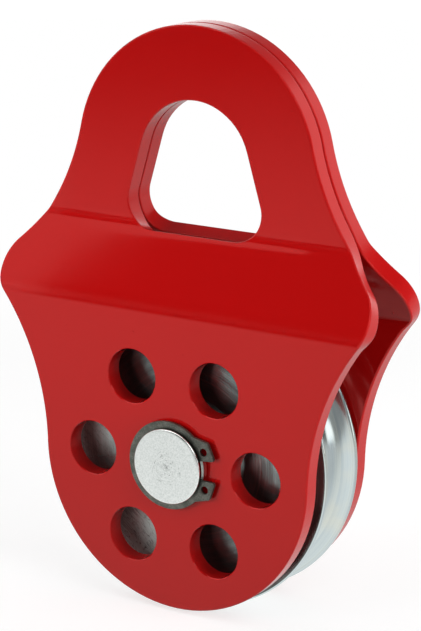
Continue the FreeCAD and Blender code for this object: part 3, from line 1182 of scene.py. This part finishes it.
@dataclass(frozen=True)
class Surroundings:
    """A white sweep behind the block and dusk where the camera stands, all white to the camera.

    What the block mirrors has white fields of its own, on the left, on the right and in front.
    """

    sweep: float = 1.45
    dusk: float = 0.03
    sweep_near: Slope = Slope((0.15, 0.99, 0.0), -0.2, 0.4)
    sweep_top: Slope = Slope((-0.15, 0.0, 1.0), 0.36, 0.50, 0.92)
    sweep_right: Slope = Slope((1.0, 0.0, 0.0), -0.3, 0.4, 0.35)
    sweep_front: Slope = Slope((1.0, -1.0, 0.0), -0.28, 0.05, 0.9)
    front_field: Slope = Slope((0.53, -0.85, 0.0), 0.5, 0.9, 0.28)
    left_glow: float = 0.95
    left_cone: Slope = Slope((-1.0, 0.0, 0.0), 0.574, 0.582)
    left_plane: Slope = Slope((-0.551, 0.768, 0.326), -0.004, 0.004)
    left_rear: Slope = Slope((0.0, 1.0, 0.0), -0.1, 0.2)
    left_top: Slope = Slope((0.0, 0.0, 1.0), 0.60, 0.75)
    right_field: Slope = Slope((1.0, 0.0, 0.0), 0.94, 0.97, 1.7)

    def build(self) -> None:
        """Makes the world."""
        world = bpy.data.worlds.new("studio")
        world.use_nodes = True
        bpy.context.scene.world = world
        net = Net(world.node_tree)
        view = net.split(net.node("ShaderNodeTexCoord").outputs["Generated"])
        behind = self.sweep_near.climb(view) * (1 - self.sweep_top.climb(view))
        behind = behind * (1 - self.sweep_right.climb(view)) * (1 - self.sweep_front.climb(view))
        left = self.left_cone.climb(view).at_least(self.left_plane.climb(view))
        left = left * (1 - self.left_rear.climb(view)) * (1 + self.left_top.climb(view))
        left = left * self.left_glow
        sides = left.at_least(self.right_field.climb(view))
        mirrored = sides.at_least(self.front_field.climb(view)) * net.ray("Glossy")
        level = (behind * self.sweep).at_least(mirrored).at_least(self.dusk)
        shader = net.node("ShaderNodeBackground", None,
                          {"Color": WHITE, "Strength": level.at_least(net.ray("Camera"))})
        net.node("ShaderNodeOutputWorld", None, {"Surface": shader.outputs[0]})


@dataclass(frozen=True)
class FloorPaint:
    """Matt pale floor, white to the camera towards its rim, and mirrored as a soft white field."""

    colour: Colour = (0.35, 0.35, 0.35)
    seen_colours: tuple[Colour, Colour] = ((0.41, 0.41, 0.41), (0.43, 0.43, 0.43))
    seen_glow: float = 0.68
    seen_reach: Span = (0.25, 0.45)
    tooth: Noise = Noise(2.5 * MM)
    field_reach: Span = (0.35, 1.30)
    field_left: Slope = Slope((-0.811, 0.585, 0.0), 0.028, 0.048)
    field_rear: Slope = Slope((0.0, 1.0, 0.0), 0.0, 0.3, 0.4)
    # Painted shadow: the mirrored field is dimmed behind and right of the block, standing for the
    # block's own shadow there.
    mirrored_block_shadow: Slope = Slope((1.0, 1.0, 0.0), 0.0, 0.2, 0.35)
    gap_near: Slope = Slope((-0.643, 0.766, 0.0), 0.06, 0.14)
    gap_far: Slope = Slope((-0.906, -0.423, 0.0), 0.06, 0.14)
    gap_depth: float = 0.85

    def build(self) -> bpy.types.Material:
        """Builds the material.

        Returns:
            The material.
        """
        paint = Paint("studio_floor")
        place = (paint.x, paint.y, paint.z)
        across = paint.math("SQRT", paint.x * paint.x + paint.y * paint.y)
        tooth = paint.noise(paint.place, self.tooth)
        pale = paint.shader("BsdfDiffuse", Color=paint.mix(tooth, *self.seen_colours))
        glow = paint.shader("Emission", Color=WHITE, Strength=self.seen_glow)
        lit = paint.node("ShaderNodeAddShader", None, {0: pale, 1: glow}).outputs[0]
        bright = paint.shader("Emission", Color=WHITE, Strength=1.0)
        seen = paint.blend(across.rise(*self.seen_reach), lit, bright)
        reach = across - self.field_rear.climb(place)
        field = 1 - reach.rise(*self.field_reach) * (1 - self.field_left.climb(place))
        gap = self.gap_near.climb(place) * self.gap_far.climb(place) * self.gap_depth
        # Painted shadow of the block, dimming the mirrored field behind and right of it.
        field = field * (1 - gap) * (1 - self.mirrored_block_shadow.climb(place))
        mirrored = paint.shader("Emission", Color=WHITE, Strength=field)
        shade = paint.shader("BsdfDiffuse", Color=self.colour)
        matt = paint.blend(paint.ray("Glossy"), shade, mirrored)
        both = paint.blend(paint.ray("Camera"), matt, seen)
        paint.node("ShaderNodeOutputMaterial", None, {"Surface": both})
        return paint.material


@dataclass
class Studio:
    """Pale floor, white surroundings, soft lamps and the camera."""

    camera_place: Point = (0.38294, -0.60271, 0.24004)
    camera_target: Point = (0.014523, -0.0192, 0.051610)
    lens: float = 130.6
    sensor_width: float = 36.0
    floor_radius: float = 1.4
    floor_segments: int = 96
    floor_paint: FloorPaint = FloorPaint()
    surroundings: Surroundings = Surroundings()
    panels: tuple[Panel, ...] = (
        Panel("left_panel", azimuth=-74.4, elevation=30, width=1.0, height=1.0, brightness=1.65),
        Panel("right_panel", azimuth=64, elevation=41, width=0.7, height=0.55, brightness=1.8,
              distance=0.9, glossy=True),
        Panel("side_panel", azimuth=91, elevation=9, width=0.7, height=0.34, brightness=8.9,
              distance=0.9),
        Panel("rear_panel", azimuth=180, elevation=55, width=0.8, height=0.8, brightness=0.9),
        Panel("front_panel", azimuth=-35, elevation=5, width=0.45, height=0.15, brightness=1.25,
              distance=0.55, spread=52, raised=0.032),
    )

    def floor(self, height: float) -> None:
        """Lays the floor.

        Args:
            height: Its height.
        """
        mesh = bpy.data.meshes.new("studio_floor")
        shape = bmesh.new()
        bmesh.ops.create_circle(shape, cap_ends=True, radius=self.floor_radius,
                                segments=self.floor_segments)
        bmesh.ops.translate(shape, verts=shape.verts, vec=(0.0, 0.0, height))
        shape.to_mesh(mesh)
        shape.free()
        mesh.materials.append(self.floor_paint.build())
        add_object("studio_floor", mesh)

    def camera(self) -> None:
        """Sets up the camera."""
        place, target = Vector(self.camera_place), Vector(self.camera_target)
        data = bpy.data.cameras.new("photo_view")
        data.lens = self.lens
        data.sensor_width = self.sensor_width
        data.sensor_fit = "AUTO"
        view = add_object("photo_view", data)
        view.location = place
        view.rotation_euler = (target - place).to_track_quat("-Z", "Y").to_euler()
        bpy.context.scene.camera = view

    def build(self) -> None:
        """Builds the studio."""
        low, high = CAD_BOX
        self.camera()
        self.surroundings.build()
        self.floor(low.z)
        for panel in self.panels:
            panel.place((low + high) / 2)
        bpy.context.scene.view_settings.view_transform = "Standard"


def main() -> None:
    """Builds the studio and dresses the block."""
    logging.basicConfig(level=logging.INFO, format="%(name)s: %(message)s")
    Studio().build()
    lathe = Lathe()
    CheekPlates().build()
    Sheave().build(lathe)
    Axle().build(lathe)


if __name__ == "__main__":
    main()
